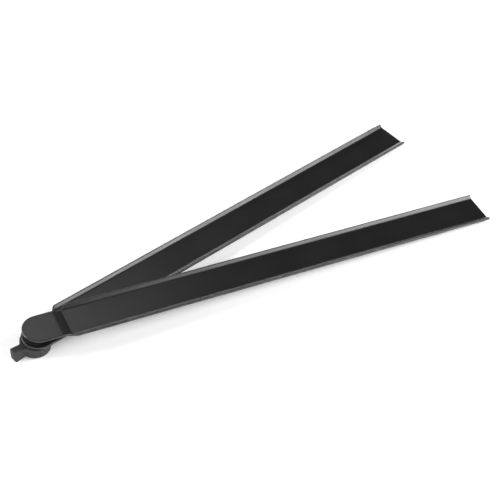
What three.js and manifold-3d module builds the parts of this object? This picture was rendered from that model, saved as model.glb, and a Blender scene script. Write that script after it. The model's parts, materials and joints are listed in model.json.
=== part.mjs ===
// Folding two-arm bracket: two long shallow trough arms that swing about one clamped pivot.
// Millimetres, +Z up. The pivot axis is Z, the upper arm runs along +X, and Z = 0 is the plane
// that the clamp knob stands on.
import * as THREE from "three";
import { mergeVertices } from "three/addons/utils/BufferGeometryUtils.js";
import Module from "manifold-3d";

const wasm = await Module();
wasm.setup();

// ---- driving dimensions ------------------------------------------------------------------

const OPEN_ANGLE = THREE.MathUtils.degToRad(16.7); // between the arms as they stand

const ARM = {
  reach: 410, // pivot axis to the square-cut end
  sheet: 2,
  tabRadius: 12.8,
  tabCentre: 2.9, // the tab's arc centre lies this far along the arm from the pivot
  floorHalf: 11.3,
  lipBend: 2.5, // radius of the bend, on its inner face
  lipSlope: THREE.MathUtils.degToRad(37),
  lipFlat: 2.4, // plan width of the straight part of the lip
  joggleStart: 16.5,
  joggleEnd: 24.5,
  joggleDrop: 2, // the upper arm's floor lies this far below its tab
  flareStart: 25,
  flareEnd: 29,
};

const STUD = { radius: 2.95, flangeRadius: 5, flange: 0.8, end: 3, chamfer: 0.5 };
const SPACER = { radius: 8.2, edge: 0.4, recessClearance: 0.15 };
const FRICTION_WASHER = { outer: 8, thickness: 0.5 };
const FLAT_WASHER = { outer: 8.8, thickness: 0.48 };
const WAVE_WASHER = { inner: 3.4, outer: 6.4, thickness: 0.3, amplitude: 0.3, waves: 3 };
const WASHER_BORE = 3.2;
const PIVOT_HOLE = 3.15;
const THREAD_BORE = 3.02;
const INSERT = { radius: 4.5, groove: 0.35, bottom: 1.9, top: 7.7 };

const KNOB = {
  hubRadius: 11.7,
  height: 8.5,
  edge: 1, // rounding of the outer edges
  collarRadius: 9.6,
  collarBottom: 2,
  wingEnd: 20.5, // pivot axis to the blunt end of each wing
  wingHalf: 4.6, // half width of a wing where its end corners start
  wingCorner: 1.6,
  wingSpread: THREE.MathUtils.degToRad(6), // each side of a wing turns out by this much
  fillet: 1, // hollow between the hub and each wing
  lean: 0.87, // how far the thumb face leans in at the wing's end, as a share of its half width
  undercut: 0.55, // the same for the face behind it, which leans in towards the foot
  recessRadius: 6.8,
  recessFloor: 7.85,
  boreBottom: 1.8,
  turn: THREE.MathUtils.degToRad(17.5),
};

const GAP = 0.05; // clearance between stacked pieces
const MARGIN = 0.5; // how far a cutting or joining body runs past what it meets
const WELD = 1e-4; // corners closer than this are one corner

// Stacking heights, from the knob's foot up.
const Z = {};
Z.knobTop = 9.2;
Z.flatWasher = Z.knobTop + GAP;
Z.lowerTab = 9.8;
Z.lowerTabTop = Z.lowerTab + ARM.sheet;
Z.frictionWasher = Z.lowerTabTop + GAP;
Z.spacer = Z.frictionWasher + FRICTION_WASHER.thickness + GAP;
Z.upperTab = 18.5;
Z.upperTabTop = Z.upperTab + ARM.sheet;
Z.spacerTop = Z.upperTab - GAP;
Z.studFlange = Z.upperTab - GAP - STUD.flange;

const ROUND = 64; // sides of the round pieces
const STEPS = { arc: 32, joggle: 10, lip: 5, washer: 30, knob: 10, knobEdge: 3, wing: 5 }; // per curve

// ---- helpers -----------------------------------------------------------------------------

function toSolid(geometry) {
  const bare = geometry.index ? geometry.toNonIndexed() : geometry.clone();
  bare.deleteAttribute("normal");
  bare.deleteAttribute("uv");
  const merged = mergeVertices(bare, WELD);
  return new wasm.Manifold(new wasm.Mesh({
    numProp: 3,
    vertProperties: new Float32Array(merged.attributes.position.array),
    triVerts: new Uint32Array(merged.index.array),
  }));
}

function toGeometry(solid) {
  const cut = solid.getMesh();
  const geometry = new THREE.BufferGeometry();
  geometry.setAttribute("position", new THREE.BufferAttribute(new Float32Array(cut.vertProperties), 3));
  geometry.setIndex(new THREE.BufferAttribute(new Uint32Array(cut.triVerts), 1));
  geometry.computeVertexNormals();
  return geometry;
}

function extrude(shape, depth, curveSegments = STEPS.arc) {
  return new THREE.ExtrudeGeometry(shape, { depth, curveSegments, bevelEnabled: false });
}

// A solid of revolution about Z from [radius, height] points that run up the outside.
function turned(points) {
  const profile = points.map(([radius, height]) => new THREE.Vector2(radius, height));
  return new THREE.LatheGeometry(profile, ROUND).rotateX(Math.PI / 2);
}

function ring(inner, outer, bottom, top) {
  return turned([[inner, bottom], [outer, bottom], [outer, top], [inner, top], [inner, bottom]]);
}

function piece(name, geometry, look) {
  const mesh = new THREE.Mesh(geometry, new THREE.MeshStandardMaterial(look));
  mesh.name = name;
  return mesh;
}

// ---- arms --------------------------------------------------------------------------------
// Both arms are drawn with the pivot at the origin, the arm along +X and the tab's top at Z = 0.

const LIP_EDGE = ARM.floorHalf + ARM.lipBend * Math.sin(ARM.lipSlope) + ARM.lipFlat;
const LIP_RISE = ARM.lipBend * (1 - Math.cos(ARM.lipSlope)) + ARM.lipFlat * Math.tan(ARM.lipSlope);
const ARM_HALF = LIP_EDGE + ARM.sheet * Math.sin(ARM.lipSlope);

// The blank seen from above: a round-ended tab that widens into the trough.
function armOutline() {
  const half = ARM_HALF + MARGIN;
  const middle = (ARM.flareStart + ARM.flareEnd) / 2;
  const shape = new THREE.Shape();
  shape.absarc(ARM.tabCentre, 0, ARM.tabRadius, Math.PI / 2, 1.5 * Math.PI, false);
  shape.lineTo(ARM.flareStart, -ARM.tabRadius);
  shape.bezierCurveTo(middle, -ARM.tabRadius, middle, -half, ARM.flareEnd, -half);
  shape.lineTo(ARM.reach, -half);
  shape.lineTo(ARM.reach, half);
  shape.lineTo(ARM.flareEnd, half);
  shape.bezierCurveTo(middle, half, middle, ARM.tabRadius, ARM.flareStart, ARM.tabRadius);
  shape.closePath();
  return shape;
}

// The tab and joggle seen from the side, in X and Z, swept across the full width.
function tabStrip(drop) {
  const middle = (ARM.joggleStart + ARM.joggleEnd) / 2;
  const overlap = ARM.joggleEnd + MARGIN;
  const side = new THREE.Shape();
  side.moveTo(-ARM.tabRadius, 0);
  side.lineTo(-ARM.tabRadius, -ARM.sheet);
  side.lineTo(ARM.joggleStart, -ARM.sheet);
  if (drop > 0) {
    side.bezierCurveTo(middle, -ARM.sheet, middle, -ARM.sheet - drop, ARM.joggleEnd, -ARM.sheet - drop);
  }
  side.lineTo(overlap, -ARM.sheet - drop);
  side.lineTo(overlap, -drop);
  if (drop > 0) {
    side.lineTo(ARM.joggleEnd, -drop);
    side.bezierCurveTo(middle, -drop, middle, 0, ARM.joggleStart, 0);
  }
  side.closePath();
  const half = ARM_HALF + 2 * MARGIN;
  return extrude(side, 2 * half, STEPS.joggle).rotateX(Math.PI / 2).translate(0, half, 0);
}

// Half of the trough's section: points along the lip, at a given depth below its upper face.
function lipPoints(depth) {
  const radius = ARM.lipBend + depth;
  const points = [];
  for (let i = 0; i <= STEPS.lip; i += 1) {
    const angle = (ARM.lipSlope * i) / STEPS.lip;
    const across = ARM.floorHalf + radius * Math.sin(angle);
    points.push([across, ARM.lipBend - radius * Math.cos(angle)]);
  }
  const [across, height] = points[STEPS.lip];
  points.push([across + ARM.lipFlat, height + ARM.lipFlat * Math.tan(ARM.lipSlope)]);
  return points;
}

function trough(drop) {
  const upper = lipPoints(0);
  const lower = lipPoints(ARM.sheet).reverse();
  const right = [...upper, ...lower];
  const left = right.map(([across, height]) => [-across, height]).reverse();
  const section = new THREE.Shape([...right, ...left].map(([y, z]) => new THREE.Vector2(y, z)));
  const length = ARM.reach - ARM.joggleEnd;
  // The section's own X and Y become the arm's Y and Z, and its depth runs along the arm.
  const placed = new THREE.Matrix4().makeBasis(
    new THREE.Vector3(0, 1, 0),
    new THREE.Vector3(0, 0, 1),
    new THREE.Vector3(1, 0, 0),
  );
  return extrude(section, length).applyMatrix4(placed).translate(ARM.joggleEnd, 0, -drop);
}

function armBody(drop) {
  const bottom = -ARM.sheet - drop - MARGIN;
  const top = LIP_RISE + MARGIN;
  const plan = extrude(armOutline(), top - bottom).translate(0, 0, bottom);
  return toSolid(tabStrip(drop)).add(toSolid(trough(drop))).intersect(toSolid(plan));
}

const BLACK_PAINT = { color: 0x191a1b, roughness: 0.42, metalness: 0.2 };

function upperArm() {
  const mesh = piece("upper_arm", toGeometry(armBody(ARM.joggleDrop)), BLACK_PAINT);
  mesh.position.z = Z.upperTabTop;
  return mesh;
}

function lowerArm() {
  const below = -ARM.sheet - MARGIN;
  const hole = turned([[0, below], [PIVOT_HOLE, below], [PIVOT_HOLE, MARGIN], [0, MARGIN]]);
  const body = armBody(0).subtract(toSolid(hole));
  const mesh = piece("lower_arm", toGeometry(body), BLACK_PAINT);
  mesh.position.z = Z.lowerTabTop;
  return mesh;
}

// ---- pivot stack -------------------------------------------------------------------------

// Threaded stud, welded by its flange to the underside of the upper arm's tab.
function pivotStud() {
  const top = Z.studFlange + STUD.flange;
  return piece("pivot_stud", turned([
    [0, STUD.end],
    [STUD.radius - STUD.chamfer, STUD.end],
    [STUD.radius, STUD.end + STUD.chamfer],
    [STUD.radius, Z.studFlange],
    [STUD.flangeRadius, Z.studFlange],
    [STUD.flangeRadius, top],
    [0, top],
  ]), { color: 0x9a9a98, roughness: 0.35, metalness: 1 });
}

// Moulded puck that keeps the arms apart; its top is recessed over the stud's flange.
function spacer() {
  const { radius, edge, recessClearance } = SPACER;
  const recess = Z.studFlange - GAP;
  const recessRadius = STUD.flangeRadius + recessClearance;
  return piece("spacer", turned([
    [WASHER_BORE, Z.spacer],
    [radius - edge, Z.spacer],
    [radius, Z.spacer + edge],
    [radius, Z.spacerTop - edge],
    [radius - edge, Z.spacerTop],
    [recessRadius, Z.spacerTop],
    [recessRadius, recess],
    [WASHER_BORE, recess],
    [WASHER_BORE, Z.spacer],
  ]), { color: 0x0d0d0e, roughness: 0.6, metalness: 0 });
}

function frictionWasher() {
  const top = Z.frictionWasher + FRICTION_WASHER.thickness;
  return piece("friction_washer", ring(WASHER_BORE, FRICTION_WASHER.outer, Z.frictionWasher, top),
    { color: 0x2c2620, roughness: 0.8, metalness: 0 });
}

function flatWasher() {
  const top = Z.flatWasher + FLAT_WASHER.thickness;
  return piece("flat_washer", ring(WASHER_BORE, FLAT_WASHER.outer, Z.flatWasher, top),
    { color: 0x8d8d8b, roughness: 0.35, metalness: 1 });
}

// Spring washer: a thin ring whose height rises and falls around the axis.
function waveWasher() {
  const shape = new THREE.Shape().absarc(0, 0, WAVE_WASHER.outer, 0, 2 * Math.PI, false);
  shape.holes.push(new THREE.Path().absarc(0, 0, WAVE_WASHER.inner, 0, 2 * Math.PI, true));
  const geometry = extrude(shape, WAVE_WASHER.thickness, STEPS.washer);
  const points = geometry.attributes.position;
  const level = (KNOB.recessFloor + Z.flatWasher - WAVE_WASHER.thickness) / 2;
  for (let i = 0; i < points.count; i += 1) {
    const around = Math.atan2(points.getY(i), points.getX(i));
    const wave = WAVE_WASHER.amplitude * Math.sin(WAVE_WASHER.waves * around);
    points.setZ(i, points.getZ(i) + level + wave);
  }
  return piece("wave_washer", geometry, { color: 0x77777a, roughness: 0.3, metalness: 1 });
}

// ---- clamp knob --------------------------------------------------------------------------

// Centres and angles of the tangent arcs round one quarter of the outline.
function wingArcs() {
  const { hubRadius, wingEnd, wingHalf, wingCorner, wingSpread, fillet } = KNOB;
  const cornerX = wingEnd - wingCorner;
  const normal = new THREE.Vector2(-Math.sin(wingSpread), Math.cos(wingSpread)); // of the wing's side
  const offset = normal.x * cornerX + normal.y * wingHalf;
  const corner = new THREE.Vector2(cornerX, (offset - wingCorner - normal.x * cornerX) / normal.y);
  const beside = offset + fillet;
  const along = Math.sqrt((hubRadius + fillet) ** 2 - beside ** 2);
  const hollow = new THREE.Vector2(normal.y, -normal.x).multiplyScalar(along).addScaledVector(normal, beside);
  const hubAngle = Math.atan2(hollow.y, hollow.x);
  const sideAngle = Math.PI / 2 + wingSpread;
  return { corner, hollow, hubAngle, sideAngle };
}

// A line from the outline's last point to the target, with points along it.
function lineInSteps(shape, target) {
  const start = shape.currentPoint.clone();
  for (let i = 1; i < STEPS.wing; i += 1) {
    const point = start.clone().lerp(target, i / STEPS.wing);
    shape.lineTo(point.x, point.y);
  }
}

function onArc(centreX, centreY, radius, angle) {
  return new THREE.Vector2(centreX + radius * Math.cos(angle), centreY + radius * Math.sin(angle));
}

// Outline of tangent arcs: end corners, side, hollow, hub, hollow, side, and the same again.
function knobOutline() {
  const { hubRadius, wingCorner, fillet } = KNOB;
  const { corner, hollow, hubAngle, sideAngle } = wingArcs();
  const shape = new THREE.Shape();
  for (const side of [1, -1]) {
    const turn = side > 0 ? 0 : Math.PI;
    const [cornerX, cornerY] = [side * corner.x, side * corner.y];
    const [hollowX, hollowY] = [side * hollow.x, side * hollow.y];
    const hollowStart = turn + sideAngle - Math.PI;
    const nextCorner = turn + Math.PI - sideAngle;
    shape.absarc(cornerX, -cornerY, wingCorner, turn - sideAngle, turn, false);
    shape.absarc(cornerX, cornerY, wingCorner, turn, turn + sideAngle, false);
    lineInSteps(shape, onArc(hollowX, hollowY, fillet, hollowStart));
    shape.absarc(hollowX, hollowY, fillet, hollowStart, turn + hubAngle - Math.PI, true);
    shape.absarc(0, 0, hubRadius, turn + hubAngle, turn + Math.PI - hubAngle, false);
    shape.absarc(-hollowX, hollowY, fillet, turn - hubAngle, turn - sideAngle, true);
    lineInSteps(shape, onArc(-cornerX, cornerY, wingCorner, nextCorner));
  }
  return shape;
}

// Makes each wing a leaning blade: the face that a thumb pushes leans in towards the top, and the
// face behind it leans in towards the foot.
function leanWings(geometry) {
  const points = geometry.attributes.position;
  for (let i = 0; i < points.count; i += 1) {
    const x = points.getX(i);
    const y = points.getY(i);
    const out = (Math.abs(x) - KNOB.hubRadius) / (KNOB.wingEnd - KNOB.hubRadius);
    if (out > 0) {
      const rise = points.getZ(i) / KNOB.height;
      const lean = x * y > 0 ? KNOB.lean * rise : KNOB.undercut * (1 - rise);
      points.setY(i, y * (1 - lean * Math.sqrt(Math.min(out, 1))));
    }
  }
  return geometry;
}

function knobBody() {
  const rounded = leanWings(new THREE.ExtrudeGeometry(knobOutline(), {
    depth: KNOB.height - 2 * KNOB.edge,
    curveSegments: STEPS.knob,
    bevelEnabled: true,
    bevelSize: KNOB.edge,
    bevelOffset: -KNOB.edge,
    bevelThickness: KNOB.edge,
    bevelSegments: STEPS.knobEdge,
  }).translate(0, 0, KNOB.edge));
  const collar = turned([
    [0, KNOB.collarBottom],
    [KNOB.collarRadius, KNOB.collarBottom],
    [KNOB.collarRadius, Z.knobTop],
    [0, Z.knobTop],
  ]);
  const bore = INSERT.radius + GAP;
  const hollow = turned([
    [0, KNOB.boreBottom],
    [bore, KNOB.boreBottom],
    [bore, KNOB.recessFloor],
    [KNOB.recessRadius, KNOB.recessFloor],
    [KNOB.recessRadius, Z.knobTop + MARGIN],
    [0, Z.knobTop + MARGIN],
  ]);
  const body = toSolid(rounded).add(toSolid(collar)).subtract(toSolid(hollow));
  const mesh = piece("knob_body", toGeometry(body), { color: 0x1c1c1d, roughness: 0.5, metalness: 0 });
  mesh.rotation.z = KNOB.turn;
  return mesh;
}

// Brass thread insert, waisted so that the moulding grips it.
function knobInsert() {
  const { radius, groove, bottom, top } = INSERT;
  const third = (top - bottom) / 3;
  return piece("knob_insert", turned([
    [THREAD_BORE, bottom],
    [radius, bottom],
    [radius, bottom + third],
    [radius - groove, bottom + third],
    [radius - groove, top - third],
    [radius, top - third],
    [radius, top],
    [THREAD_BORE, top],
    [THREAD_BORE, bottom],
  ]), { color: 0xb08d4a, roughness: 0.35, metalness: 1 });
}

// ---- assembly ----------------------------------------------------------------------------

const upper = new THREE.Group();
upper.add(upperArm(), pivotStud(), spacer());

const lower = new THREE.Group();
lower.add(lowerArm(), frictionWasher());
lower.rotation.z = OPEN_ANGLE;

const knob = new THREE.Group();
knob.add(flatWasher(), waveWasher(), knobBody(), knobInsert());

const bracket = new THREE.Group();
bracket.add(upper, lower, knob);

export default bracket;
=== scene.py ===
"""Folding two-arm bracket: the fine meshes, finishes, floor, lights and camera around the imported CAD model.

Shapes are worked out in millimetres in the row frame (the pivot axis is Z and the upper arm runs along +X)
and turned into metres when each mesh is made.
"""
import json
import math

import bpy
import numpy as np
from mathutils import Matrix, Vector


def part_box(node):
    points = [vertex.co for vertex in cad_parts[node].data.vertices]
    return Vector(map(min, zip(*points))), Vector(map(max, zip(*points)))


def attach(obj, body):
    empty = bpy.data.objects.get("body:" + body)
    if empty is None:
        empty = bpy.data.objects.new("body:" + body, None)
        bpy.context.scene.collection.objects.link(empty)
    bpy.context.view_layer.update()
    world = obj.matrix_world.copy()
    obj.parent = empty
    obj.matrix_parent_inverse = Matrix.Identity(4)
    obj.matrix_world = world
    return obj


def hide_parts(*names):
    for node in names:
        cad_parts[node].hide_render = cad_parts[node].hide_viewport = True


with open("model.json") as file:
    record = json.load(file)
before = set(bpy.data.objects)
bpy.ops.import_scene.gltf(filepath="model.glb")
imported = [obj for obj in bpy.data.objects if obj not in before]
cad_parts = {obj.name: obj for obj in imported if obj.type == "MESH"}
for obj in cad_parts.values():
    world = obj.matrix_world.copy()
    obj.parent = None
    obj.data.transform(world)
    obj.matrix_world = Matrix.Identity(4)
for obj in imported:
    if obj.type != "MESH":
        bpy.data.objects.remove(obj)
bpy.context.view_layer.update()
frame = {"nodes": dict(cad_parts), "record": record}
MM = 0.001

# ---- driving dimensions, in millimetres ------------------------------------------------------


def box_mm(node):
    low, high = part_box(node)
    return low / MM, high / MM


def mount_mm(name):
    mount = next(m for m in frame["record"]["mounts"] if m["name"] == name)
    return Vector(mount["pos_m"]) / MM


UPPER_LOW, UPPER_HIGH = box_mm("upper_arm")
LOWER_FLOOR = mount_mm("lower_trough_floor")
OPEN_ANGLE = math.atan2(LOWER_FLOOR.y, LOWER_FLOOR.x)
UPPER_TAB_TOP = mount_mm("tab_top").z
LOWER_TAB_TOP = LOWER_FLOOR.z

SHEET = 2.0
EDGE = 0.6  # rounding of the sheet's painted edges
PIVOT_HOLE = 3.15
TAB_RADIUS = 12.8
TAB_CENTRE = UPPER_LOW.x + TAB_RADIUS
REACH = UPPER_HIGH.x
TROUGH_HALF = 11.3  # half width of the trough's flat floor
LIP_BEND = 2.5
LIP_SLOPE = math.radians(37)
LIP_EDGE = UPPER_HIGH.y - SHEET * math.sin(LIP_SLOPE)
LIP_START, LIP_FULL = 20.5, 27.5  # the lips rise between these stations
FLARE_START, FLARE_END = 25.0, 29.0  # the blank widens between these stations
JOGGLE_END = 24.5
JOGGLE_SLOPE = math.radians(21)
JOGGLE_SOFT, JOGGLE_CRISP = 16.0, 2.0  # bend radii at the tab's side and at the trough's side
JOGGLE_DROP = UPPER_TAB_TOP - mount_mm("upper_trough_floor").z

# The arms' mesh: where its stations lie along the arm, and how many there are.
TAB_FIRST_ANGLE = 2  # degrees round the tab's end, just off its tip
TAB_STATIONS = 24
PLAIN_STATIONS = [8.0, 12.0]  # between the tab's round end and the joggle
SHAPED_START, SHAPED_STEP = 15.0, 0.4  # close together through the joggle and the flare
TROUGH_STATIONS = 48
FLOOR_SHARE = 0.8  # the floor takes at most this share of the half width
FLOOR_STEPS, LIP_STEPS, EDGE_STEPS = 2, 8, 3
SLOPE_STEP = 0.01  # over which the sheet's slope is measured

KNOB_HUB = 11.7
KNOB_FILLET = 1.0  # hollow between the hub and each wing
WING_END = 20.5
WING_HALF = 4.6  # half width of a wing where its end corners start
WING_CORNER = 1.6
WING_SPREAD = math.radians(6)  # each side of a wing turns out by this much
WING_LEAN = 0.87  # how far the thumb face leans in at the wing's end, as a share of its half width
WING_UNDERCUT = 0.55  # the same for the face behind it, which leans in towards the foot
KNOB_TURN = math.radians(17.5)
KNOB_HEIGHT = 8.5
KNOB_TOP_ROUND = 1.0
KNOB_FOOT_ROUND = 1.2
KNOB_COLLAR = 9.6
KNOB_COLLAR_EDGE = 0.3
KNOB_RECESS = 6.8
KNOB_RECESS_FLOOR = 7.85
KNOB_BORE = 4.6
KNOB_BORE_FLOOR = 1.8
CORNER_STEPS, SIDE_STEPS, FILLET_STEPS, HUB_STEPS = 8, 12, 8, 36  # along the knob's outline
FOOT_ROUND_STEPS, TOP_ROUND_STEPS = 5, 8
FOOT_WEAR, TOP_WEAR = 0.4, 0.6  # how readily the rounded rims rub, from 0 to 1

SPACER_BORE = 3.2
SPACER_EDGE = 0.5

SHARP_ANGLE = math.radians(50)  # an edge that folds by more than this is shaded sharp
FLAT_FACE_WEIGHT = 100
RING_STEPS = 96
RING_CORNER_STEPS = 3
HOLE_STEPS = 64
HOLE_OVERRUN = 1  # how far the hole's cutter reaches past each face

# ---- mesh helpers ----------------------------------------------------------------------------


def smoothstep(value, start, end):
    t = np.clip((value - start) / (end - start), 0, 1)
    return t * t * (3 - 2 * t)


def arc(start, end, count):
    """Angles in radians from start to end, both given in degrees."""
    return np.radians(np.linspace(start, end, count))


def strip(first, second, closed):
    """Quads between two rows of vertex numbers of the same length."""
    last = len(first) if closed else len(first) - 1
    faces = []
    for k in range(last):
        n = (k + 1) % len(first)
        faces.append((first[k], first[n], second[n], second[k]))
    return faces


def ring(radius, height, angles):
    """Points of a level circle round the pivot axis."""
    return [(radius * math.cos(a), radius * math.sin(a), height) for a in angles]


def full_turn(steps):
    """Evenly spaced angles right round."""
    return [2 * math.pi * k / steps for k in range(steps)]


def add_object(name, data):
    """An object in the scene round the given mesh, light or camera."""
    made = bpy.data.objects.new(name, data)
    bpy.context.scene.collection.objects.link(made)
    return made


def make_piece(name, points, faces, body, material, replaces, wear=None):
    """A smooth-shaded mesh from points in millimetres; wear is 1 where the finish rubs off first."""
    mesh = bpy.data.meshes.new(name)
    mesh.from_pydata([Vector(p) * MM for p in points], [], faces)
    if wear is not None:
        attribute = mesh.attributes.new("wear", "FLOAT", "POINT")
        attribute.data.foreach_set("value", np.asarray(wear, np.float32))
    mesh.polygons.foreach_set("use_smooth", [True] * len(mesh.polygons))
    mesh.set_sharp_from_angle(angle=SHARP_ANGLE)
    mesh.update()
    piece = add_object(name, mesh)
    piece.data.materials.append(material)
    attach(piece, body)
    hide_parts(replaces)
    return piece


def weight_normals(piece):
    """Keeps large flat faces looking flat beside their rounded edges."""
    modifier = piece.modifiers.new("flat_faces", "WEIGHTED_NORMAL")
    modifier.weight = FLAT_FACE_WEIGHT
    modifier.keep_sharp = True


def lathe(profile):
    """Points and faces of a ring: profile is a closed loop of (radius, height), going up on the outside."""
    angles = full_turn(RING_STEPS)
    points = []
    faces = []
    rows = []
    for radius, height in profile:
        rows.append(list(range(len(points), len(points) + RING_STEPS)))
        points += ring(radius, height, angles)
    for row, after in zip(rows, rows[1:] + rows[:1]):
        faces += strip(row, after, True)
    return points, faces


def rounded_section(inner, outer, bottom, top, edge):
    """The section of a ring whose outer corners are rounded, as (radius, height) going up on the outside."""

    def corner(height, start, end):
        angles = arc(start, end, RING_CORNER_STEPS + 1)
        return [(outer - edge + edge * math.cos(a), height + edge * math.sin(a)) for a in angles]

    return [(inner, bottom)] + corner(bottom + edge, -90, 0) + corner(top - edge, 0, 90) + [(inner, top)]


# ---- arms ------------------------------------------------------------------------------------


def step_down(x, drop):
    """Depth of the joggle at station x: a soft bend, a straight slope, then a crisp bend."""
    if drop <= 0:
        return np.zeros_like(x)
    sine, cosine = math.sin(JOGGLE_SLOPE), math.cos(JOGGLE_SLOPE)
    straight = (drop - (JOGGLE_SOFT + JOGGLE_CRISP) * (1 - cosine)) / sine
    soft_end = JOGGLE_END - JOGGLE_CRISP * sine - straight * cosine
    start = soft_end - JOGGLE_SOFT * sine
    soft_run = np.clip(x - start, 0, JOGGLE_SOFT * sine)
    slope_run = np.clip(x - soft_end, 0, straight * cosine)
    crisp_run = np.clip(JOGGLE_END - x, 0, JOGGLE_CRISP * sine)
    soft = JOGGLE_SOFT - np.sqrt(JOGGLE_SOFT ** 2 - soft_run ** 2)
    crisp = JOGGLE_CRISP * (1 - cosine) - (JOGGLE_CRISP - np.sqrt(JOGGLE_CRISP ** 2 - crisp_run ** 2))
    return soft + slope_run * math.tan(JOGGLE_SLOPE) + crisp


def lip_height(across):
    """Rise of the lip's upper face at a distance across from the middle of the arm."""
    run = np.clip(np.abs(across) - TROUGH_HALF, 0, None)
    bend_run = LIP_BEND * math.sin(LIP_SLOPE)
    bent = np.minimum(run, bend_run)
    return LIP_BEND - np.sqrt(LIP_BEND ** 2 - bent ** 2) + (run - bent) * math.tan(LIP_SLOPE)


def arm_height(x, y, drop):
    return smoothstep(x, LIP_START, LIP_FULL) * lip_height(y) - step_down(x, drop)


def arm_half_width(x):
    """Half width of the blank seen from above, inside its rounded edge."""
    inside = TAB_RADIUS - EDGE
    round_end = math.sqrt(max(inside ** 2 - (min(x, TAB_CENTRE) - TAB_CENTRE) ** 2, 0))
    widening = LIP_EDGE - EDGE * math.cos(LIP_SLOPE) - inside
    return round_end + widening * float(smoothstep(x, FLARE_START, FLARE_END))


def arm_stations():
    """Stations along the arm, close together where the shape changes."""
    inside = TAB_RADIUS - EDGE
    tab = [TAB_CENTRE - inside * math.cos(a) for a in arc(TAB_FIRST_ANGLE, 90, TAB_STATIONS)]
    shaped = list(np.arange(SHAPED_START, FLARE_END + 1, SHAPED_STEP))
    trough = list(np.linspace(FLARE_END + 2, REACH - EDGE, TROUGH_STATIONS))
    return tab + PLAIN_STATIONS + shaped + trough


def arm_across(half):
    """Positions across the arm at a station of the given half width, from -half to +half."""
    floor = min(TROUGH_HALF, FLOOR_SHARE * half)
    flat = np.linspace(0, floor, FLOOR_STEPS + 1)
    lip = floor + (half - floor) * np.linspace(0, 1, LIP_STEPS + 1)[1:]
    positive = np.concatenate([flat, lip])
    return np.concatenate([-positive[:0:-1], positive])


def upper_normals(x, y, drop):
    """Unit normals of the sheet's upper face, from how much its height changes over a small step."""
    span = 2 * SLOPE_STEP
    slope_x = (arm_height(x + SLOPE_STEP, y, drop) - arm_height(x - SLOPE_STEP, y, drop)) / span
    slope_y = (arm_height(x, y + SLOPE_STEP, drop) - arm_height(x, y - SLOPE_STEP, drop)) / span
    normal = np.stack([-slope_x, -slope_y, np.ones_like(slope_x)], axis=-1)
    return normal / np.linalg.norm(normal, axis=-1, keepdims=True)


def grid_rim(rows, columns):
    """The places round a grid's edge, counter-clockwise seen from above."""
    rim = [(i, 0) for i in range(rows)]
    rim += [(rows - 1, j) for j in range(1, columns)]
    rim += [(i, columns - 1) for i in range(rows - 2, -1, -1)]
    rim += [(0, j) for j in range(columns - 2, 0, -1)]
    return rim


def outward_from(edge, upward):
    """Directions out of a closed edge, mitred so that each side moves out by the full distance."""
    side = np.cross(np.roll(edge, -1, axis=0) - edge, upward)
    side /= np.linalg.norm(side, axis=-1, keepdims=True)
    before = np.roll(side, 1, axis=0)
    return (side + before) / (1 + np.sum(side * before, axis=-1, keepdims=True))


def arm_sheet(drop):
    """Points, faces and wear of a bent sheet arm along +X with its tab's top at Z = 0."""
    stations = arm_stations()
    grid_x = np.repeat(np.array(stations)[:, None], len(arm_across(1.0)), axis=1)
    grid_y = np.array([arm_across(arm_half_width(x)) for x in stations])
    top = np.stack([grid_x, grid_y, arm_height(grid_x, grid_y, drop)], axis=-1)
    normal = upper_normals(grid_x, grid_y, drop)
    rows, columns = grid_x.shape
    rim = grid_rim(rows, columns)
    edge = np.array([top[place] for place in rim])
    upward = np.array([normal[place] for place in rim])
    outward = outward_from(edge, upward)

    points = list(top.reshape(-1, 3)) + list((top - SHEET * normal).reshape(-1, 3))
    wear = [0.0] * len(points)
    under = rows * columns
    faces = []
    for i in range(rows - 1):
        for j in range(columns - 1):
            a = i * columns + j
            b = a + columns
            faces.append((a, b, b + 1, a + 1))
            faces.append((under + a, under + a + 1, under + b + 1, under + b))

    # The rounded edge, as layers that each go out and down from the upper face's rim.
    turns = arc(0, 90, EDGE_STEPS + 1)[1:]
    layers = [(EDGE * math.sin(a), EDGE * (1 - math.cos(a))) for a in turns]
    layers += [(out, SHEET - down) for out, down in reversed(layers)]
    previous = [i * columns + j for i, j in rim]
    for out, down in layers:
        layer = list(range(len(points), len(points) + len(rim)))
        points += list(edge + outward * out - upward * down)
        wear += [1.0] * len(rim)
        faces += strip(layer, previous, True)[::-1]
        previous = layer
    faces += strip([under + i * columns + j for i, j in rim], previous, True)
    return points, faces, wear


def turned(points, angle, lift):
    """The points turned about the pivot axis and lifted."""
    cosine, sine = math.cos(angle), math.sin(angle)
    return [(x * cosine - y * sine, x * sine + y * cosine, z + lift) for x, y, z in points]


def pierce(piece, radius, low, high):
    """Cuts the pivot hole through a piece."""
    angles = full_turn(HOLE_STEPS)
    points = [Vector(p) * MM for p in ring(radius, low, angles) + ring(radius, high, angles)]
    bottom = list(range(HOLE_STEPS))
    top = list(range(HOLE_STEPS, 2 * HOLE_STEPS))
    mesh = bpy.data.meshes.new("hole_cutter")
    mesh.from_pydata(points, [], strip(bottom, top, True) + [bottom[::-1], top])
    cutter = add_object("hole_cutter", mesh)
    modifier = piece.modifiers.new("hole", "BOOLEAN")
    modifier.object = cutter
    modifier.operation = "DIFFERENCE"
    modifier.solver = "EXACT"
    graph = bpy.context.evaluated_depsgraph_get()
    cut = bpy.data.meshes.new_from_object(piece.evaluated_get(graph), depsgraph=graph)
    piece.modifiers.clear()
    piece.data = cut
    bpy.data.objects.remove(cutter)
    cut.set_sharp_from_angle(angle=SHARP_ANGLE)


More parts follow.
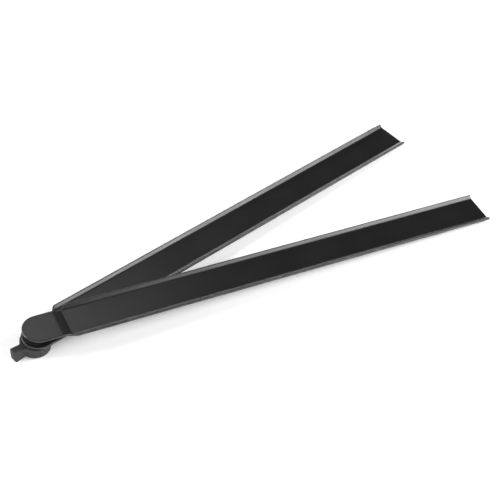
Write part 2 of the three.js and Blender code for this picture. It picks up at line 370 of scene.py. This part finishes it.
def make_arms(paint):
    points, faces, wear = arm_sheet(JOGGLE_DROP)
    upper = make_piece("upper_arm_sheet", turned(points, 0, UPPER_TAB_TOP), faces,
                       "upper_arm", paint, "upper_arm", wear)
    points, faces, wear = arm_sheet(0)
    lower = make_piece("lower_arm_sheet", turned(points, OPEN_ANGLE, LOWER_TAB_TOP), faces,
                       "lower_arm", paint, "lower_arm", wear)
    pierce(lower, PIVOT_HOLE, LOWER_TAB_TOP - SHEET - HOLE_OVERRUN, LOWER_TAB_TOP + HOLE_OVERRUN)
    weight_normals(upper)
    weight_normals(lower)


# ---- clamp knob ------------------------------------------------------------------------------


def even(start, end, steps):
    """Evenly spaced values from start towards end, without end itself."""
    return np.linspace(start, end, steps + 1)[:-1]


def knob_outline(inset):
    """The outline moved in by inset: one half, wing end to wing end, then the same turned 180 degrees."""
    corner_x = WING_END - WING_CORNER
    normal = Vector((-math.sin(WING_SPREAD), math.cos(WING_SPREAD)))  # of the wing's side
    offset = normal.dot((corner_x, WING_HALF))
    corner = Vector((corner_x, (offset - WING_CORNER - normal.x * corner_x) / normal.y))
    beside = offset + KNOB_FILLET
    along = math.sqrt((KNOB_HUB + KNOB_FILLET) ** 2 - beside ** 2)
    hollow = along * Vector((normal.y, -normal.x)) + beside * normal
    hub_angle = math.atan2(hollow.y, hollow.x)
    side_angle = math.pi / 2 + WING_SPREAD
    hub, corner_radius, fillet = KNOB_HUB - inset, WING_CORNER - inset, KNOB_FILLET + inset

    def on_arc(centre_x, centre_y, radius, angles):
        return [(centre_x + radius * math.cos(a), centre_y + radius * math.sin(a)) for a in angles]

    half = on_arc(corner.x, corner.y, corner_radius, even(0, side_angle, CORNER_STEPS))
    side_start = Vector(on_arc(corner.x, corner.y, corner_radius, [side_angle])[0])
    side_end = Vector(on_arc(hollow.x, hollow.y, fillet, [side_angle - math.pi])[0])
    side = [side_start.lerp(side_end, t) for t in even(0, 1, SIDE_STEPS)]
    half += [(p.x, p.y) for p in side]
    half += on_arc(hollow.x, hollow.y, fillet, even(side_angle - math.pi, hub_angle - math.pi, FILLET_STEPS))
    half += on_arc(0, 0, hub, even(hub_angle, math.pi - hub_angle, HUB_STEPS))
    half += on_arc(-hollow.x, hollow.y, fillet, even(-hub_angle, -side_angle, FILLET_STEPS))
    half += [(-p.x, p.y) for p in [side_end.lerp(side_start, t) for t in even(0, 1, SIDE_STEPS)]]
    half += on_arc(-corner.x, corner.y, corner_radius, even(math.pi - side_angle, math.pi, CORNER_STEPS))
    return half + [(-x, -y) for x, y in half]


def lean_wings(points):
    """Makes each wing a leaning blade: its thumb face leans in at the top, its back at the foot."""
    leaned = []
    for x, y, z in points:
        out = (abs(x) - KNOB_HUB) / (WING_END - KNOB_HUB)
        if out > 0:
            rise = z / KNOB_HEIGHT
            lean = WING_LEAN * rise if x * y > 0 else WING_UNDERCUT * (1 - rise)
            y *= 1 - lean * math.sqrt(min(out, 1))
        leaned.append((x, y, z))
    return leaned


def make_knob(plastic):
    outline = knob_outline(0)
    count = len(outline)
    half = count // 2
    # Each outline point's angle on the round collar: the hub's own, and even steps behind each wing.
    hub_first = CORNER_STEPS + SIDE_STEPS + FILLET_STEPS
    hub_last = hub_first + HUB_STEPS
    first = math.atan2(outline[hub_first][1], outline[hub_first][0])
    last = math.pi - first
    marks = [hub_last - half, hub_first, hub_last, hub_first + half]
    angles = np.interp(np.arange(half), marks, [last - math.pi, first, last, first + math.pi])
    angles = np.concatenate([angles, angles + math.pi])

    def level(inset, height):
        return [(x, y, height) for x, y in knob_outline(inset)]

    # Loops of points and their wear, from the foot up the outside, then over the collar and down the bore.
    loops = []
    for a in arc(0, 90, FOOT_ROUND_STEPS + 1):
        height = KNOB_FOOT_ROUND * (1 - math.cos(a))
        loops.append((level(KNOB_FOOT_ROUND * (1 - math.sin(a)), height), FOOT_WEAR))
    for a in arc(0, 90, TOP_ROUND_STEPS + 1):
        height = KNOB_HEIGHT - KNOB_TOP_ROUND * (1 - math.sin(a))
        loops.append((level(KNOB_TOP_ROUND * (1 - math.cos(a)), height), TOP_WEAR))
    top = box_mm("knob_body")[1].z
    rounds = [
        (KNOB_COLLAR, KNOB_HEIGHT),
        (KNOB_COLLAR, top - KNOB_COLLAR_EDGE),
        (KNOB_COLLAR - KNOB_COLLAR_EDGE, top),
        (KNOB_RECESS, top),
        (KNOB_RECESS, KNOB_RECESS_FLOOR),
        (KNOB_BORE, KNOB_RECESS_FLOOR),
        (KNOB_BORE, KNOB_BORE_FLOOR),
    ]
    loops += [(ring(radius, height, angles), 0.0) for radius, height in rounds]
    points = []
    wear = []
    rows = []
    for loop, rub in loops:
        rows.append(list(range(len(points), len(points) + count)))
        points += loop
        wear += [rub] * count
    faces = []
    for row, after in zip(rows, rows[1:]):
        faces += strip(row, after, True)
    faces.append(rows[0][::-1])
    faces.append(rows[-1])
    knob = make_piece("knob_wing", turned(lean_wings(points), KNOB_TURN, 0), faces,
                      "knob", plastic, "knob_body", wear)
    weight_normals(knob)


# ---- spacer ----------------------------------------------------------------------------------


def make_spacer(nylon):
    low, high = box_mm("spacer")
    points, faces = lathe(rounded_section(SPACER_BORE, high.x, low.z, high.z, SPACER_EDGE))
    make_piece("spacer_puck", points, faces, "upper_arm", nylon, "spacer")


# ---- materials -------------------------------------------------------------------------------

# The darkest and lightest of each base colour, then the dust on it and what shows where it is rubbed.
PAINT_DARK, PAINT_LIGHT = (0.0065, 0.0065, 0.0068), (0.009, 0.009, 0.0094)
PAINT_DUST, PAINT_RUBBED = (0.05, 0.05, 0.05), (0.09, 0.09, 0.092)
PLASTIC_DARK, PLASTIC_LIGHT = (0.007, 0.007, 0.0073), (0.011, 0.011, 0.0114)
PLASTIC_RUBBED = (0.07, 0.07, 0.07)
# The spacer's near black is partly its own black and partly painted shade for the gap between the tabs.
NYLON_AND_GAP_SHADE_DARK, NYLON_AND_GAP_SHADE_LIGHT = (0.002, 0.002, 0.002), (0.004, 0.004, 0.004)
# The friction washer's near black is partly its own dark fibre and partly painted shade for the gap between
# the tabs.
FIBRE_AND_GAP_SHADE_DARK, FIBRE_AND_GAP_SHADE_LIGHT = (0.003, 0.003, 0.003), (0.01, 0.009, 0.008)
PAINT_SPECULAR = 0.36
NYLON_SPECULAR = 0.12
TURNED = (0.02, 0.02, 2.0)  # stretches noise round the wall, into turning rings


class Nodes:
    """A short way to write one material's node tree. Lengths in it are in metres, as Blender's own are."""

    def __init__(self, name):
        self.material = bpy.data.materials.new(name)
        self.material.use_nodes = True
        self.tree = self.material.node_tree
        self.tree.nodes.clear()
        self.shader = self.add("ShaderNodeBsdfPrincipled")
        output = self.add("ShaderNodeOutputMaterial")
        self.join(self.shader.outputs["BSDF"], output.inputs["Surface"])
        self.place = self.add("ShaderNodeTexCoord").outputs["Object"]

    def add(self, kind, **settings):
        node = self.tree.nodes.new(kind)
        for key, value in settings.items():
            setattr(node, key, value)
        return node

    def join(self, source, target):
        self.tree.links.new(source, target)

    def noise(self, scale, detail=2.0, roughness=0.5, stretch=None):
        """Noise with the given number of features per metre."""
        place = self.place
        if stretch is not None:
            mapping = self.add("ShaderNodeMapping")
            mapping.inputs["Scale"].default_value = stretch
            self.join(place, mapping.inputs["Vector"])
            place = mapping.outputs["Vector"]
        node = self.add("ShaderNodeTexNoise")
        node.inputs["Scale"].default_value = scale
        node.inputs["Detail"].default_value = detail
        node.inputs["Roughness"].default_value = roughness
        self.join(place, node.inputs["Vector"])
        return node.outputs["Fac"]

    def span(self, value, low, high, out_low, out_high):
        """The value moved from the range low to high into the range out_low to out_high."""
        node = self.add("ShaderNodeMapRange")
        node.inputs["From Min"].default_value = low
        node.inputs["From Max"].default_value = high
        node.inputs["To Min"].default_value = out_low
        node.inputs["To Max"].default_value = out_high
        self.join(value, node.inputs["Value"])
        return node.outputs["Result"]

    def math(self, operation, first, second):
        """One arithmetic step on two values, each of which is a number or another node's output."""
        node = self.add("ShaderNodeMath", operation=operation)
        for socket, value in zip(node.inputs, (first, second)):
            if isinstance(value, (int, float)):
                socket.default_value = value
            else:
                self.join(value, socket)
        return node.outputs["Value"]

    def mix(self, factor, first, second):
        """A blend of two colours, each of which is a tuple or another node's output."""
        node = self.add("ShaderNodeMix", data_type="RGBA")
        self.join(factor, node.inputs["Factor"])
        for key, value in (("A", first), ("B", second)):
            socket = [s for s in node.inputs if s.name == key and s.type == "RGBA"][0]
            if isinstance(value, tuple):
                socket.default_value = (*value, 1)
            else:
                self.join(value, socket)
        return [s for s in node.outputs if s.type == "RGBA"][0]

    def bump(self, height, distance, strength=1.0, under=None):
        """A bumped normal; distance is its depth in metres, and under is the normal that it adds to."""
        node = self.add("ShaderNodeBump")
        node.inputs["Distance"].default_value = distance
        node.inputs["Strength"].default_value = strength
        self.join(height, node.inputs["Height"])
        if under is not None:
            self.join(under, node.inputs["Normal"])
        return node.outputs["Normal"]

    def wear(self):
        return self.add("ShaderNodeAttribute", attribute_name="wear").outputs["Fac"]

    def set(self, **values):
        """Sets or joins the shader's sockets, named with underscores for spaces."""
        for key, value in values.items():
            socket = self.shader.inputs[key.replace("_", " ")]
            if isinstance(value, (int, float)):
                socket.default_value = value
            elif isinstance(value, tuple):
                socket.default_value = (*value, 1)
            else:
                self.join(value, socket)


def painted_metal():
    """Satin black powder coat: orange peel, faint dust and cloudy gloss, rubbed thin along the edges."""
    n = Nodes("satin_black_coat")
    cloud = n.noise(35, detail=3)
    grain = n.noise(2600)
    peel = n.noise(900)
    rubbed = n.math("MULTIPLY", n.wear(), n.span(n.noise(160, detail=4, roughness=0.7), 0.45, 0.7, 0, 1))
    base = n.mix(cloud, PAINT_DARK, PAINT_LIGHT)
    dusty = n.mix(n.span(grain, 0.66, 0.8, 0, 0.35), base, PAINT_DUST)
    n.set(
        Base_Color=n.mix(n.math("MULTIPLY", rubbed, 0.35), dusty, PAINT_RUBBED),
        Roughness=n.math("SUBTRACT", n.span(cloud, 0.3, 0.7, 0.29, 0.35), n.math("MULTIPLY", rubbed, 0.06)),
        Normal=n.bump(peel, 0.04 * MM, strength=0.5, under=n.bump(grain, 0.01 * MM, strength=0.6)),
        Specular_IOR_Level=PAINT_SPECULAR,
    )
    return n.material


def moulded_plastic():
    """Black glass-filled nylon with a fine spark-eroded grain."""
    n = Nodes("moulded_black_plastic")
    cloud = n.noise(60, detail=3)
    grain = n.noise(3200, detail=3, roughness=0.6)
    rubbed = n.math("MULTIPLY", n.wear(), n.span(n.noise(220, detail=4, roughness=0.7), 0.5, 0.75, 0, 1))
    base = n.mix(cloud, PLASTIC_DARK, PLASTIC_LIGHT)
    n.set(
        Base_Color=n.mix(n.math("MULTIPLY", rubbed, 0.3), base, PLASTIC_RUBBED),
        Roughness=n.math("SUBTRACT", n.span(grain, 0.3, 0.7, 0.6, 0.74), n.math("MULTIPLY", rubbed, 0.1)),
        Normal=n.bump(grain, 0.03 * MM, strength=0.6),
    )
    return n.material


def spacer_nylon_and_gap_shade():
    """Dull black nylon with fine turning rings round its wall; its near black colour is also painted shade
    for the gap between the tabs.
    """
    n = Nodes("turned_nylon_and_gap_shade")
    rings = n.noise(900, stretch=TURNED)
    n.set(
        Base_Color=n.mix(rings, NYLON_AND_GAP_SHADE_DARK, NYLON_AND_GAP_SHADE_LIGHT),
        Roughness=n.span(rings, 0.3, 0.7, 0.75, 0.9),
        Normal=n.bump(rings, 0.02 * MM, strength=0.5),
        Specular_IOR_Level=NYLON_SPECULAR,
    )
    return n.material


def bright_metal(name, shade, rough):
    """Plated steel or plain metal, slightly clouded."""
    n = Nodes(name)
    cloud = n.noise(400, detail=4, roughness=0.6)
    n.set(
        Base_Color=n.mix(cloud, tuple(0.85 * c for c in shade), shade),
        Roughness=n.span(cloud, 0.3, 0.7, rough - 0.06, rough + 0.08),
        Metallic=1.0,
        Normal=n.bump(n.noise(3000), 0.01 * MM, strength=0.4),
    )
    return n.material


BRIGHT_METALS = {  # each node's material, colour and roughness
    "pivot_stud": ("zinc_plate", (0.62, 0.62, 0.60), 0.32),
    "flat_washer": ("washer_plate", (0.55, 0.55, 0.54), 0.35),
    "wave_washer": ("spring_steel", (0.42, 0.42, 0.43), 0.3),
    "knob_insert": ("brass", (0.78, 0.58, 0.30), 0.33),
}


def fibre_and_gap_shade():
    """Pressed friction fibre, speckled and dull; its near black colour is also painted shade for the gap
    between the tabs.
    """
    n = Nodes("friction_fibre_and_gap_shade")
    speck = n.noise(2500, detail=4, roughness=0.7)
    n.set(
        Base_Color=n.mix(n.span(speck, 0.35, 0.65, 0, 1), FIBRE_AND_GAP_SHADE_DARK, FIBRE_AND_GAP_SHADE_LIGHT),
        Roughness=n.span(speck, 0.3, 0.7, 0.75, 0.95),
        Normal=n.bump(speck, 0.05 * MM, strength=0.7),
    )
    return n.material


def finish_node(node, material):
    """Gives a carried-over CAD node its finish."""
    piece = frame["nodes"][node]
    piece.data.materials.clear()
    piece.data.materials.append(material)


# ---- floor, lights and camera ----------------------------------------------------------------

STUDIO_FLOOR_HALF = 3000  # half of each side, in millimetres
STUDIO_FLOOR_WHITE = (0.88, 0.88, 0.88)
STUDIO_FLOOR_ROUGHNESS = 0.9
STUDIO_FLOOR_SPECULAR = 0.1
STUDIO_FLOOR_GLOW = 0.06  # a little light of its own keeps it white to the picture's corners


def resting_plane():
    """The floor under the knob's foot and both arms' ends: its slopes along X and Y, and its height."""
    upper = Vector((REACH, 0, UPPER_LOW.z))
    lower_low = box_mm("lower_arm")[0]
    lower = Vector((REACH * math.cos(OPEN_ANGLE), REACH * math.sin(OPEN_ANGLE), lower_low.z))
    slope_x = upper.z / upper.x
    slope_y = (lower.z - slope_x * lower.x) / lower.y
    foot = [Vector(p) for p in turned([(x, y, 0) for x, y in knob_outline(KNOB_FOOT_ROUND)], KNOB_TURN, 0)]
    height = min(p.z - slope_x * p.x - slope_y * p.y for p in foot + [upper, lower])
    return slope_x, slope_y, height


def make_floor():
    slope_x, slope_y, height = resting_plane()
    half = STUDIO_FLOOR_HALF
    corners = [(-half, -half), (half, -half), (half, half), (-half, half)]
    points = [Vector((x, y, slope_x * x + slope_y * y + height)) * MM for x, y in corners]
    mesh = bpy.data.meshes.new("floor")
    mesh.from_pydata(points, [], [(0, 1, 2, 3)])
    floor = add_object("floor", mesh)
    n = Nodes("white_floor")
    n.set(
        Base_Color=STUDIO_FLOOR_WHITE,
        Roughness=STUDIO_FLOOR_ROUGHNESS,
        Specular_IOR_Level=STUDIO_FLOOR_SPECULAR,
        Emission_Color=(1.0, 1.0, 1.0),
        Emission_Strength=STUDIO_FLOOR_GLOW,
    )
    floor.data.materials.append(n.material)


STUDIO_MIDDLE = Vector((0.15, 0.03, 0.0))  # in metres
STUDIO_RADIUS = 2.0  # metres from there to each soft box
WORLD_STRENGTH = 0.06
SOFT_BOXES = {  # azimuth, elevation, width and height in degrees as the object sees it, then radiance
    "right_softbox": (330, 40, 38, 16, 17),
    "high_softbox": (310, 49, 10, 10, 12),
    "right_strip": (315, 7, 56, 14, 10),
    "front_strip": (255, 7, 56, 14, 7),
    "front_softbox": (210, 22, 28, 15, 9),
    "left_softbox": (155, 28, 26, 22, 16),
    "left_strip": (150, 7, 28, 14, 10),
    "back_panel": (72, 6, 40, 12, 7),
    "back_softbox": (88, 54, 26, 18, 3.0),
}


def soft_box(name, azimuth, elevation, across, up, radiance):
    """A soft box at the given place and size as seen from the object; azimuth runs from +X towards +Y."""
    turn, tilt = math.radians(azimuth), math.radians(elevation)
    away = Vector((math.cos(turn) * math.cos(tilt), math.sin(turn) * math.cos(tilt), math.sin(tilt)))
    width = 2 * STUDIO_RADIUS * math.tan(math.radians(across / 2))
    height = 2 * STUDIO_RADIUS * math.tan(math.radians(up / 2))
    data = bpy.data.lights.new(name, "AREA")
    data.shape = "RECTANGLE"
    data.size = width
    data.size_y = height
    data.energy = radiance * width * height * math.pi
    light = add_object(name, data)
    light.location = STUDIO_MIDDLE + STUDIO_RADIUS * away
    light.rotation_mode = "QUATERNION"
    light.rotation_quaternion = (-away).to_track_quat("-Z", "Y")
    light.visible_camera = False


def make_lights():
    for name, placing in SOFT_BOXES.items():
        soft_box(name, *placing)
    world = bpy.data.worlds.new("studio")
    world.use_nodes = True
    background = world.node_tree.nodes["Background"]
    background.inputs["Color"].default_value = (1, 1, 1, 1)
    background.inputs["Strength"].default_value = WORLD_STRENGTH
    bpy.context.scene.world = world


CAMERA = {  # placed and turned to match the photo's view
    "aim": (191.0, 21.3, 18.5),  # the point at the middle of the view, in millimetres
    "distance": 943.9,  # from there, in millimetres
    "heading": math.radians(54.815),  # from +X towards +Y
    "down": math.radians(44.891),
    "roll": math.radians(11.402),
    "lens": 83.1,
    "sensor": 36,
    "clip_end": 50,  # metres
}


def make_camera():
    data = bpy.data.cameras.new("camera")
    data.lens = CAMERA["lens"]
    data.sensor_width = CAMERA["sensor"]
    data.clip_end = CAMERA["clip_end"]
    camera = add_object("camera", data)
    turn = Matrix.Rotation(CAMERA["heading"] - math.pi / 2, 3, "Z")
    tip = Matrix.Rotation(math.pi / 2 - CAMERA["down"], 3, "X")
    roll = Matrix.Rotation(CAMERA["roll"], 3, "Z")
    axes = turn @ tip @ roll
    place = (Vector(CAMERA["aim"]) + axes @ Vector((0, 0, CAMERA["distance"]))) * MM
    camera.matrix_world = Matrix.Translation(place) @ axes.to_4x4()
    bpy.context.scene.camera = camera


make_camera()
make_arms(painted_metal())
make_knob(moulded_plastic())
make_spacer(spacer_nylon_and_gap_shade())
for node, metal in BRIGHT_METALS.items():
    finish_node(node, bright_metal(*metal))
# The friction washer's near black finish is partly painted shade for the gap between the tabs.
finish_node("friction_washer", fibre_and_gap_shade())
make_floor()
make_lights()
bpy.context.scene.view_settings.view_transform = "Standard"
